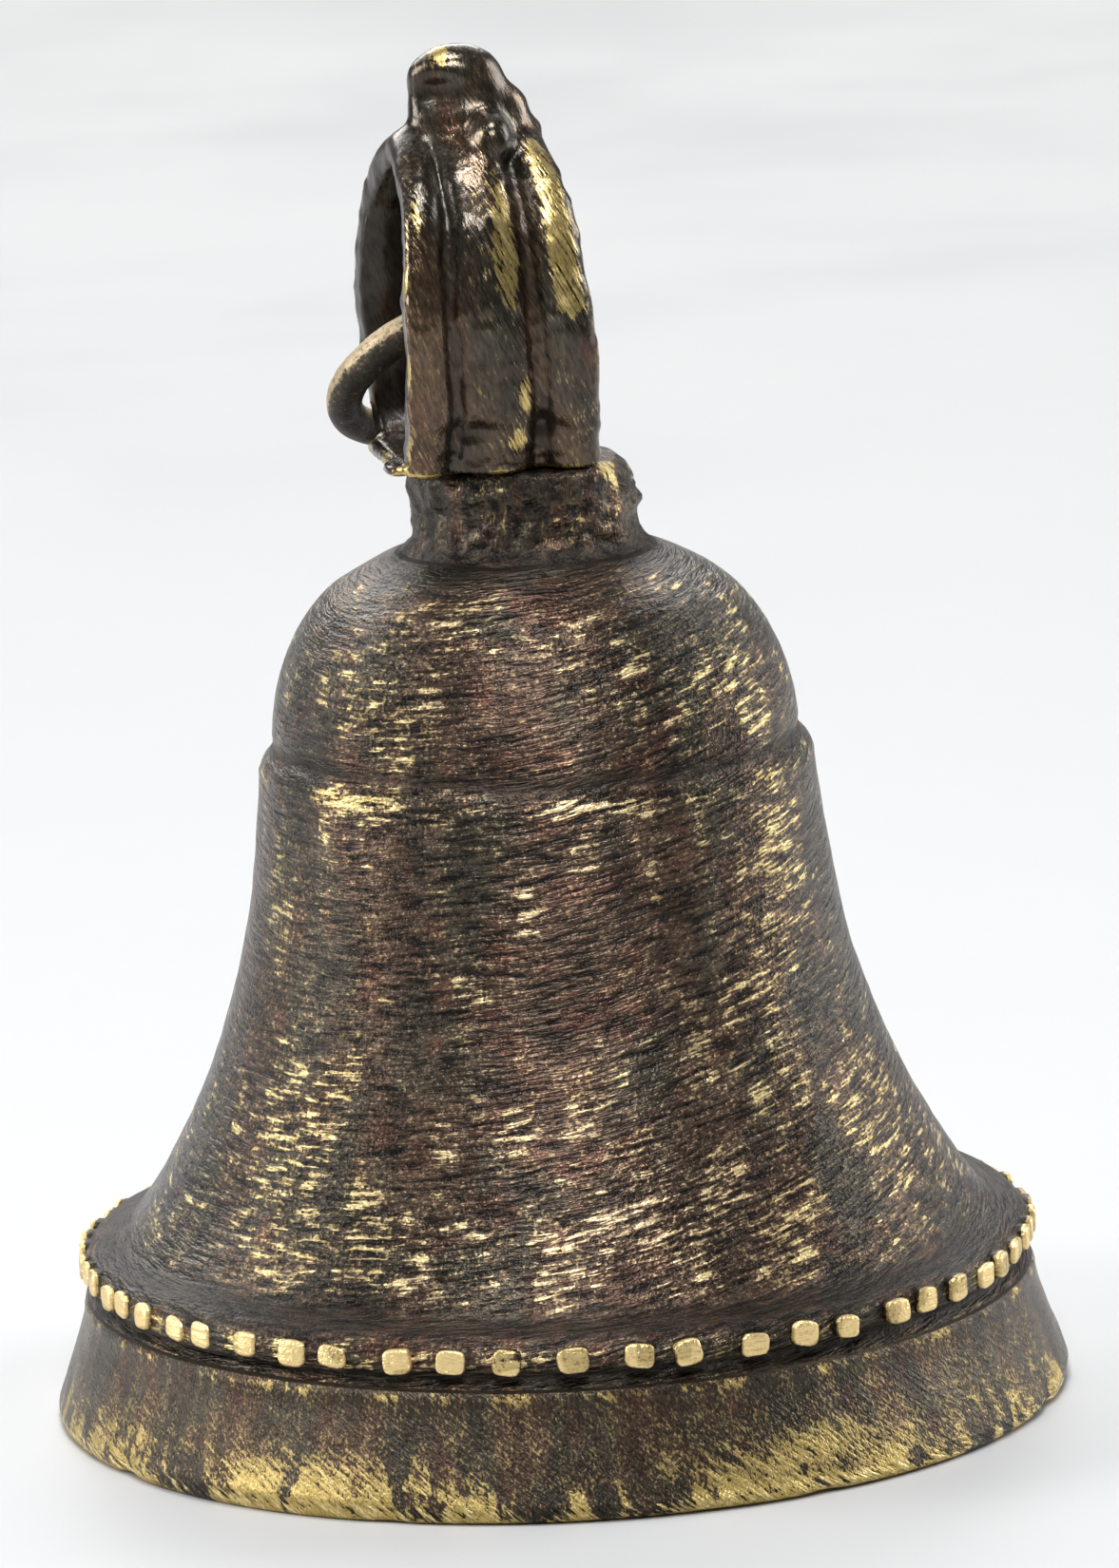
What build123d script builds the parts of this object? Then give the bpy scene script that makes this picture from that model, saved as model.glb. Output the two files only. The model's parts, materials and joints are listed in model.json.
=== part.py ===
"""Temple bell: cast brass cup with a ribbed crown loop, a loose hanging ring and a swinging clapper.

Millimetres, +Z up, the origin at the centre of the mouth. The crown loop spans front (-Y) to back (+Y),
so its hole runs along X. Every node is built in its resting place.
"""
from math import radians, sin

from build123d import *
import os

# cup, outer face
mouth_r = 26.0
band_top_r = 24.1
band_top_z = 6.9
bead_ring_r = 24.0
bead_ring_z = 8.0
bead_ring_h = 1.7
skirt_foot_r = 22.7
skirt_foot_z = 8.9
step_z = 33.9
step_low_r = 14.0
step_high_r = 13.5
neck_r = 5.75
neck_foot_z = 44.6
neck_top_z = 48.9

# cup, inner face
lip_wall = 2.0
waist_wall = 2.2
crown_in_z = 41.2
crown_in_r = 5.2

# beads cast along the ring
bead_count = 58
bead_start = -100.7
bead_spread = 4.5
bead_w = 1.5
bead_h = 1.3
bead_d = 1.1
bead_jitter = 0.8

# fits
gap = 0.05
bore_r = 1.55

# crown loop
loop_x = -2.0
arch_half = 6.8
arch_top_z = 66.2
strap_t = 1.9
groove_d = 0.5
groove_w = 0.8
groove_left_x = -2.45
groove_right_x = 1.75
foot_w = 10.8
foot_l = 9.6
foot_t = 0.95
knob_t = 3.2

# hanging ring
ring_r = 6.05
ring_wire_r = 0.88
ring_x = -2.2
ring_y = 5.05
ring_z = 52.95
ring_tilt = 37
ring_roll = 15.2

# crown stud and its eye inside the cup
shank_r = bore_r - gap
stud_head_r = 2.6
stud_head_h = 1.0
washer_r = 4.3
washer_t = 1.0
collar_r = 2.3
collar_t = 0.7
stud_eye_r = 2.2
stud_eye_wire = 0.75
stud_eye_z = 36.6

# clapper
link_r = 3.0
link_wire = 0.6
rod_eye_r = 2.0
rod_eye_wire = 0.7
rod_r = 1.3
tail_r = 1.1
ball_r = 4.6
ball_z = 9.6
peen_r = 1.9
peen_h = 0.9

# derived heights down the hanging train
link_top_z = stud_eye_z - (stud_eye_r - stud_eye_wire) + link_wire + gap
link_z = link_top_z - link_r
rod_eye_z = link_z - link_r - (rod_eye_r - rod_eye_wire) + link_wire + gap
foot_z = neck_top_z + gap
foot_top_z = foot_z + foot_t

os.makedirs("parts", exist_ok=True)


# one bead, a softened block
with BuildPart() as bead:
    Box(bead_d, bead_w, bead_h)
    fillet(bead.edges(), radius=0.3)

# the cup with its step, bead ring and neck, turned about Z and bored for the stud
with BuildPart() as bell_body:
    with BuildSketch(Plane.XZ):
        with BuildLine():
            lip = Line((mouth_r - lip_wall, 0), (mouth_r - 0.5, 0))
            rim = RadiusArc(lip @ 1, (mouth_r - 0.1, 0.9), -0.6)
            band = Spline(rim @ 1, (25.3, 2.3), (24.45, 5.0), (band_top_r, band_top_z))
            ring_low = Line(band @ 1, (bead_ring_r - 0.7, bead_ring_z - bead_ring_h / 2 + 0.1))
            ring_out = RadiusArc(ring_low @ 1, (bead_ring_r - 0.7, bead_ring_z + bead_ring_h / 2), -0.9)
            skirt_in = Line(ring_out @ 1, (skirt_foot_r, skirt_foot_z + 0.1))
            skirt = Spline(
                skirt_in @ 1,
                (19.9, 12.8),
                (17.2, 18.4),
                (15.4, 24.0),
                (14.5, 29.5),
                (step_low_r, step_z - 0.35),
            )
            ledge = Line(skirt @ 1, (step_high_r, step_z + 0.25))
            dome = Spline(ledge @ 1, (13.2, 36.4), (11.9, 40.1), (9.2, 42.9), (neck_r, neck_foot_z))
            neck = Line(dome @ 1, (neck_r, neck_top_z))
            neck_cap = Line(neck @ 1, (bore_r, neck_top_z))
            bore = Line(neck_cap @ 1, (bore_r, crown_in_z))
            ceiling = Line(bore @ 1, (crown_in_r, crown_in_z))
            inside = Spline(
                ceiling @ 1,
                (9.4, 39.2),
                (11.4, 35.2),
                (step_low_r - waist_wall, 30.0),
                (13.2, 24.0),
                (16.2, 17.0),
                (19.9, 10.2),
                (22.8, 3.4),
                lip @ 0,
            )
        make_face()
    revolve(axis=Axis.Z)
    top_edges = bell_body.edges().filter_by(GeomType.CIRCLE)
    neck_rims = top_edges.filter_by_position(Axis.Z, neck_top_z - 0.1, neck_top_z + 0.1)
    fillet(neck_rims.sort_by(SortBy.LENGTH)[-1], radius=0.3)
    for i in range(bead_count):
        turn = i * 360 / bead_count
        opened = bead_spread * sin(2 * radians(turn)) + bead_jitter * sin(2.3 * i)
        with Locations(Rotation(0, 0, bead_start + turn + opened)):
            with Locations((bead_ring_r + 0.1, 0, bead_ring_z)):
                add(bead.part)

bell_body.part.label = "bell_body"
export_step(bell_body.part, "parts/bell_body.step")


def arch_outline(inset, base_z):
    """Closed outline of the arch seen along X, drawn in from its outer face by inset."""
    half = [
        (5.1 - inset, base_z),
        (6.5 - inset, 53.0),
        (arch_half - inset, 57.5),
        (5.3 - 0.75 * inset, 62.8 - 0.62 * inset),
    ]
    crown = (0, arch_top_z - inset)
    points = half + [crown] + [(-y, z) for y, z in reversed(half)]
    sweep_over = Spline(*points)
    Line(sweep_over @ 1, sweep_over @ 0)


# half widths of the two legs at the foot, the middle and the shoulder of the arch
near_leg = (5.0, 4.8, 4.3)
far_leg = (3.95, 4.6, 4.2)
crown_half = 3.9

with BuildPart() as crown_loop:
    with BuildSketch(Plane.YZ.offset(loop_x - 6)):
        with BuildLine():
            arch_outline(0, foot_z + foot_t / 2)
        make_face()
        with BuildLine():
            arch_outline(strap_t, foot_z)
        make_face(mode=Mode.SUBTRACT)
    extrude(amount=12)
    for toward, leg in ((1, near_leg), (-1, far_leg)):
        for side in (-1, 1):
            with BuildSketch(Plane.XZ):
                with BuildLine():
                    edge = Spline(
                        (loop_x + side * leg[0], foot_z - 0.5),
                        (loop_x + side * (leg[0] + leg[1]) / 2, 53.0),
                        (loop_x + side * leg[1], 57.5),
                        (loop_x + side * leg[2], 62.8),
                        (loop_x + side * crown_half, arch_top_z + 0.2),
                    )
                    Polyline(
                        edge @ 1,
                        (loop_x + side * 8, arch_top_z + 0.2),
                        (loop_x + side * 8, foot_z - 0.5),
                        edge @ 0,
                    )
                make_face()
            extrude(amount=toward * 10, mode=Mode.SUBTRACT)
    for groove_x in (groove_left_x, groove_right_x):
        with BuildSketch(Plane.YZ.offset(loop_x + groove_x - groove_w / 2)):
            with BuildLine():
                arch_outline(-0.6, foot_top_z + 0.9)
            make_face()
            with BuildLine():
                arch_outline(groove_d, foot_top_z + 0.8)
            make_face(mode=Mode.SUBTRACT)
        extrude(amount=groove_w, mode=Mode.SUBTRACT)
    with BuildSketch(Plane.XY.offset(foot_z)):
        with Locations((loop_x, 0)):
            RectangleRounded(foot_w, foot_l, 2.6)
    extrude(amount=foot_t)
    with BuildSketch(Plane.XZ.offset(-knob_t / 2)):
        with BuildLine():
            knob_edge = Spline(
                (loop_x - 3.3, 64.9),
                (loop_x - 3.15, 68.2),
                (loop_x - 2.4, 69.4),
                (loop_x - 0.8, 69.85),
                (loop_x + 1.4, 68.9),
                (loop_x + 2.6, 66.9),
                (loop_x + 3.7, 65.5),
            )
            Line(knob_edge @ 1, knob_edge @ 0)
        make_face()
    extrude(amount=knob_t)
    with Locations((0, 0, foot_z - 1)):
        Cylinder(bore_r, 4, align=(Align.CENTER, Align.CENTER, Align.MIN), mode=Mode.SUBTRACT)

crown_loop.part.label = "crown_loop"
export_step(crown_loop.part, "parts/crown_loop.step")

# the stud: peened head, shank, collar under the washer, and an eye whose hole runs along X
with BuildPart() as crown_stud:
    with BuildSketch(Plane.XZ):
        with BuildLine():
            head_z = foot_top_z + gap
            crown_line = Line((0, head_z + stud_head_h), (0.6, head_z + stud_head_h))
            peened = RadiusArc(crown_line @ 1, (stud_head_r, head_z), 2.6)
            collar_z = crown_in_z - gap - washer_t - gap
            Polyline(
                peened @ 1,
                (shank_r, head_z),
                (shank_r, collar_z),
                (collar_r, collar_z),
                (collar_r, collar_z - collar_t),
                (0, collar_z - collar_t),
                crown_line @ 0,
            )
        make_face()
    revolve(axis=Axis.Z)
    with Locations((0, 0, stud_eye_z)):
        Torus(stud_eye_r, stud_eye_wire, rotation=(0, 90, 0))

crown_stud.part.label = "crown_stud"
export_step(crown_stud.part, "parts/crown_stud.step")

# the flat washer the stud draws up against the inside of the crown
with BuildPart() as crown_washer:
    with BuildSketch(Plane.XY.offset(crown_in_z - gap - washer_t)):
        Circle(washer_r)
        Circle(bore_r, mode=Mode.SUBTRACT)
    extrude(amount=washer_t)
    fillet(crown_washer.edges().sort_by(SortBy.LENGTH)[-2:], radius=0.2)

crown_washer.part.label = "crown_washer"
export_step(crown_washer.part, "parts/crown_washer.step")

# the loose ring round the back leg of the loop, leaning with its front limb up inside the loop
with BuildPart() as hanging_ring:
    leaning = Location((ring_x, ring_y, ring_z)) * Rotation(0, -ring_roll, 0) * Rotation(-ring_tilt, 0, 0)
    with Locations(leaning):
        Torus(ring_r, ring_wire_r)

hanging_ring.part.label = "hanging_ring"
export_step(hanging_ring.part, "parts/hanging_ring.step")

# the wire link between the stud eye and the clapper eye
with BuildPart() as clapper_link:
    with Locations((0, 0, link_z)):
        Torus(link_r, link_wire, rotation=(90, 0, 0))

clapper_link.part.label = "clapper_link"
export_step(clapper_link.part, "parts/clapper_link.step")

# the clapper rod: an eye, a shank with a shoulder on the ball, a thin tail through it and a peened end
with BuildPart() as clapper_rod:
    with Locations((0, 0, rod_eye_z)):
        Torus(rod_eye_r, rod_eye_wire, rotation=(0, 90, 0))
    with BuildSketch(Plane.XZ):
        with BuildLine():
            top_z = rod_eye_z - rod_eye_r
            shoulder_z = ball_z + ball_r
            end_z = ball_z - ball_r - gap
            Polyline(
                (0, top_z),
                (0.8, top_z),
                (rod_r, top_z - 2.5),
                (rod_r, shoulder_z),
                (tail_r, shoulder_z),
                (tail_r, end_z),
                (peen_r, end_z),
                (peen_r - 0.3, end_z - peen_h * 0.6),
                (0.7, end_z - peen_h),
                (0, end_z - peen_h),
                (0, top_z),
            )
        make_face()
    revolve(axis=Axis.Z)

clapper_rod.part.label = "clapper_rod"
export_step(clapper_rod.part, "parts/clapper_rod.step")

# the clapper ball, flattened where the rod passes through
with BuildPart() as clapper_ball:
    with Locations((0, 0, ball_z)):
        Sphere(ball_r + 0.35)
        Cylinder(ball_r + 1, 2 * (ball_r - gap), mode=Mode.INTERSECT)
        Cylinder(tail_r + gap, 3 * ball_r, mode=Mode.SUBTRACT)

clapper_ball.part.label = "clapper_ball"
export_step(clapper_ball.part, "parts/clapper_ball.step")
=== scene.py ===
import json
import math

import bpy
import numpy as np
from mathutils import Matrix, Vector


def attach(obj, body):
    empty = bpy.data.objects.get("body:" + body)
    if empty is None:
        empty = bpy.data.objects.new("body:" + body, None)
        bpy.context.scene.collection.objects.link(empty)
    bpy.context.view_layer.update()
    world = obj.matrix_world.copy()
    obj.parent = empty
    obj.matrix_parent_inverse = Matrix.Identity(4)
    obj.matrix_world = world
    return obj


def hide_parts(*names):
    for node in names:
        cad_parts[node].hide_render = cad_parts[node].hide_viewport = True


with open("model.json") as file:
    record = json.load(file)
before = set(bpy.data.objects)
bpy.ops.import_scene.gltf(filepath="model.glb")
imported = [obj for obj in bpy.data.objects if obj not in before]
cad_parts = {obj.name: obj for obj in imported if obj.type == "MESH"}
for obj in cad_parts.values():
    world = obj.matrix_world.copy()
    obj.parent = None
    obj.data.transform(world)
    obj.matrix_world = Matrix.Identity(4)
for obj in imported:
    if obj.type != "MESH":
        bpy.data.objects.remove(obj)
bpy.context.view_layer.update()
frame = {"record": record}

MM = 0.001
PI = math.pi
FRONT = math.radians(-102)          # azimuth on the cup that faces the camera

# sizes in millimetres, the same ones the CAD part is built from
LOOP_X = -2.0
FOOT_Z = 48.95
FOOT_T = 0.95
ARCH = [(5.1, FOOT_Z), (6.5, 53.0), (6.8, 57.5), (5.3, 62.8)]
ARCH_TOP = 66.2
STRAP = 1.9


# ---------------------------------------------------------------- fields and curves

def lattice(ix, iy, iz, seed):
    """A fixed random number from -1 to 1 for each whole-numbered point."""
    h = (ix * 374761393 + iy * 668265263 + iz * 1274126177 + seed * 974634777) & 0xFFFFFFFF
    h = ((h ^ (h >> 13)) * 1103515245 + 12345) & 0xFFFFFFFF
    h = ((h ^ (h >> 15)) * 668265263) & 0xFFFFFFFF
    return ((h ^ (h >> 16)) & 0xFFFF) / 32767.5 - 1.0


def field(p, size, seed):
    """Smooth noise from -1 to 1 with lumps of the given size, one number or one for each axis.

    Each seed gives a different noise.
    """
    q = p / np.asarray(size, float)
    i = np.floor(q).astype(np.int64)
    f = q - i
    f = f * f * (3 - 2 * f)
    out = np.zeros(len(p))
    for dx in (0, 1):
        for dy in (0, 1):
            for dz in (0, 1):
                w = (f[:, 0] if dx else 1 - f[:, 0]) * (f[:, 1] if dy else 1 - f[:, 1])
                w = w * (f[:, 2] if dz else 1 - f[:, 2])
                out += w * lattice(i[:, 0] + dx, i[:, 1] + dy, i[:, 2] + dz, seed)
    return out


def smooth_line(points, n):
    """n points spaced evenly along a Catmull-Rom curve through the given ones."""
    p = np.asarray(points, float)
    p = np.vstack([2 * p[0] - p[1], p, 2 * p[-1] - p[-2]])
    out = []
    for k in range(1, len(p) - 2):
        a, b, c, d = p[k - 1], p[k], p[k + 1], p[k + 2]
        for t in np.linspace(0, 1, 24, endpoint=False):
            out.append(0.5 * (2 * b + (c - a) * t + (2 * a - 5 * b + 4 * c - d) * t * t
                              + (3 * b - a - 3 * c + d) * t ** 3))
    out.append(p[-2])
    out = np.array(out)
    run = np.r_[0, np.cumsum(np.linalg.norm(np.diff(out, axis=0), axis=1))]
    want = np.linspace(0, run[-1], n)
    return np.stack([np.interp(want, run, out[:, k]) for k in range(out.shape[1])], axis=1)


def bell(x, centre, width):
    """1 at the centre, falling away smoothly on both sides."""
    return np.exp(-((x - centre) / width) ** 2)


def spot(p, centre, reach):
    """1 at a point in space, falling away smoothly all round it."""
    to = (p - np.array(centre)) / np.array(reach)
    return np.exp(-to[:, 0] ** 2 - to[:, 1] ** 2 - to[:, 2] ** 2)


def ease(x, lo, hi):
    """0 below lo, 1 above hi, smooth between."""
    t = np.clip((x - lo) / (hi - lo), 0, 1)
    return t * t * (3 - 2 * t)


def wrap(a):
    """The same angle between -pi and pi."""
    return (a + PI) % (2 * PI) - PI


# ---------------------------------------------------------------- meshes

def grid_faces(rows, cols, close_rows=False):
    """Quads over a grid of points that wraps round its columns, and round its rows too if asked."""
    r = np.arange(rows if close_rows else rows - 1)
    rr, cc = np.meshgrid(r, np.arange(cols), indexing="ij")
    a = rr * cols + cc
    b = rr * cols + (cc + 1) % cols
    d = ((rr + 1) % rows) * cols + cc
    e = ((rr + 1) % rows) * cols + (cc + 1) % cols
    return np.stack([a, b, e, d], axis=-1).reshape(-1, 4)


def make(name, verts, faces, attributes=None, scale=MM):
    """A smooth-shaded object from points in millimetres."""
    me = bpy.data.meshes.new(name)
    me.from_pydata((verts * scale).tolist(), [], faces.tolist() if hasattr(faces, "tolist") else faces)
    me.polygons.foreach_set("use_smooth", [True] * len(me.polygons))
    for key, values in (attributes or {}).items():
        give(me, key, values)
    me.update()
    ob = bpy.data.objects.new(name, me)
    bpy.context.collection.objects.link(ob)
    return ob


def give(me, key, values):
    """Stores a number or a vector for each point under the given name."""
    values = np.asarray(values, np.float32)
    if values.ndim == 2:
        me.attributes.new(key, "FLOAT_VECTOR", "POINT").data.foreach_set("vector", values.ravel())
    else:
        me.attributes.new(key, "FLOAT", "POINT").data.foreach_set("value", values)


def points_of(me):
    """The points of a mesh and their normals."""
    co = np.zeros(len(me.vertices) * 3, np.float32)
    no = np.zeros(len(me.vertices) * 3, np.float32)
    me.vertices.foreach_get("co", co)
    me.vertices.foreach_get("normal", no)
    return co.reshape(-1, 3).astype(float), no.reshape(-1, 3).astype(float)


def join_arrays(parts):
    """Stacks (verts, faces, attributes) triples into one."""
    verts, faces, attrs, base = [], [], {}, 0
    for v, f, a in parts:
        verts.append(v)
        faces.extend([[i + base for i in face] for face in (f.tolist() if hasattr(f, "tolist") else f)])
        for k, x in a.items():
            attrs.setdefault(k, []).append(x)
        base += len(v)
    return np.vstack(verts), faces, {k: np.concatenate(x) for k, x in attrs.items()}


def ellipsoid(centre, half, power=1.0, rows=20, cols=28):
    """A closed blob; a power under 1 squares it up."""
    la = np.linspace(-PI / 2, PI / 2, rows + 2)[1:-1]
    lo = np.linspace(0, 2 * PI, cols, endpoint=False)
    la, lo = np.meshgrid(la, lo, indexing="ij")

    def s(v):
        return np.sign(v) * np.abs(v) ** power

    v = np.stack([s(np.cos(la)) * s(np.cos(lo)), s(np.cos(la)) * s(np.sin(lo)), s(np.sin(la))], -1)
    v = v.reshape(-1, 3)
    v = np.vstack([v, [[0, 0, -1], [0, 0, 1]]])
    faces = grid_faces(rows, cols).tolist()
    n = rows * cols
    for k in range(cols):
        faces.append([n, (k + 1) % cols, k])
        faces.append([n + 1, (rows - 1) * cols + k, (rows - 1) * cols + (k + 1) % cols])
    return v * np.asarray(half) + np.asarray(centre), faces


def torus(big, small, rows, cols):
    """Points, normals, the angle round the ring, the angle round its wire, and faces."""
    a = np.linspace(0, 2 * PI, rows, endpoint=False)
    b = np.linspace(0, 2 * PI, cols, endpoint=False)
    a, b = np.meshgrid(a, b, indexing="ij")
    r = big + small * np.cos(b)
    v = np.stack([r * np.cos(a), r * np.sin(a), small * np.sin(b)], -1).reshape(-1, 3)
    n = np.stack([np.cos(b) * np.cos(a), np.cos(b) * np.sin(a), np.sin(b)], -1).reshape(-1, 3)
    return v, n, a.ravel(), b.ravel(), grid_faces(rows, cols, close_rows=True)


def spun(profile, cols):
    """The points of a profile of (r, z) turned about Z."""
    p = np.asarray(profile, float)
    angles = np.linspace(0, 2 * PI, cols, endpoint=False)
    return np.stack([np.outer(p[:, 0], np.cos(angles)), np.outer(p[:, 0], np.sin(angles)),
                     np.repeat(p[:, 1:2], cols, axis=1)], -1).reshape(-1, 3)


def turned(profile, cols):
    """A profile of (r, z) turned about Z, its first and last rings capped."""
    v = spun(profile, cols)
    faces = grid_faces(len(profile), cols).tolist()
    faces.append(list(range(cols))[::-1])
    faces.append(list(range(len(v) - cols, len(v))))
    return v, faces


def turn(v, axis, angle):
    """Points turned about an axis through the origin."""
    return v @ np.array(Matrix.Rotation(angle, 3, axis)).T


# ---------------------------------------------------------------- node helpers

def node(nt, kind, props=None, **ins):
    """A shader node with its settings and inputs; an input may be another node's socket."""
    n = nt.nodes.new("ShaderNode" + kind)
    for k, v in (props or {}).items():
        setattr(n, k, v)
    for k, v in ins.items():
        socket = n.inputs[k.replace("_", " ")]
        if isinstance(v, bpy.types.NodeSocket):
            nt.links.new(v, socket)
        else:
            socket.default_value = v
    return n


def attribute(nt, name, output="Fac"):
    """What the mesh stores at each point under this name."""
    return node(nt, "Attribute", {"attribute_name": name}).outputs[output]


def calc(nt, op, a, b, clamp=False):
    """A math node on two numbers or sockets."""
    n = nt.nodes.new("ShaderNodeMath")
    n.operation = op
    n.use_clamp = clamp
    for k, v in enumerate((a, b)):
        if isinstance(v, bpy.types.NodeSocket):
            nt.links.new(v, n.inputs[k])
        else:
            n.inputs[k].default_value = v
    return n.outputs[0]


def add_part(nt, total, x, amount):
    """total plus amount times x."""
    return calc(nt, "ADD", total, calc(nt, "MULTIPLY", x, amount))


def swing(nt, x, amount):
    """amount times how far x is from a half."""
    return calc(nt, "MULTIPLY", calc(nt, "SUBTRACT", x, 0.5), amount)


def span(nt, x, lo, hi, a=0.0, b=1.0):
    """x from lo to hi turned smoothly into a to b."""
    n = node(nt, "MapRange", {"interpolation_type": "SMOOTHSTEP"})
    nt.links.new(x, n.inputs["Value"])
    for k, v in (("From Min", lo), ("From Max", hi), ("To Min", a), ("To Max", b)):
        n.inputs[k].default_value = v
    return n.outputs["Result"]


def blend_colour(nt, f, a, b):
    """Colour a where f is 0, colour b where it is 1."""
    n = nt.nodes.new("ShaderNodeMix")
    n.data_type = "RGBA"
    for k, v in ((0, f), (6, a), (7, b)):
        if isinstance(v, bpy.types.NodeSocket):
            nt.links.new(v, n.inputs[k])
        elif k == 0:
            n.inputs[k].default_value = v
        else:
            n.inputs[k].default_value = (*v, 1)
    return n.outputs[2]


def stretched(nt, vec, scale, detail, rough):
    """Noise on coordinates multiplied by scale, a number for each axis."""
    m = node(nt, "VectorMath", {"operation": "MULTIPLY"})
    nt.links.new(vec, m.inputs[0])
    m.inputs[1].default_value = scale
    n = node(nt, "TexNoise", Scale=1.0, Detail=detail, Roughness=rough)
    nt.links.new(m.outputs[0], n.inputs["Vector"])
    return n.outputs["Fac"]


def new_material(name):
    """A material, its node tree and its Principled shader, joined to the output."""
    mat = bpy.data.materials.new(name)
    mat.use_nodes = True
    nt = mat.node_tree
    nt.nodes.clear()
    out = nt.nodes.new("ShaderNodeOutputMaterial")
    bsdf = nt.nodes.new("ShaderNodeBsdfPrincipled")
    nt.links.new(bsdf.outputs[0], out.inputs[0])
    return mat, nt, bsdf


# near-black, for dirt and for painted shade in creases, grooves and undersides
DIRT_AND_SHADE = (0.016, 0.013, 0.010)
RUST = (0.16, 0.068, 0.026)
TARNISH = (0.16, 0.105, 0.045)
ROSY_BRASS = (0.92, 0.71, 0.44)
BURNISHED = (0.95, 0.72, 0.34)
MARK_DEPTH = 0.00034                # metres, at a relief of 1
IRON_DEPTH = 0.00018


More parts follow.
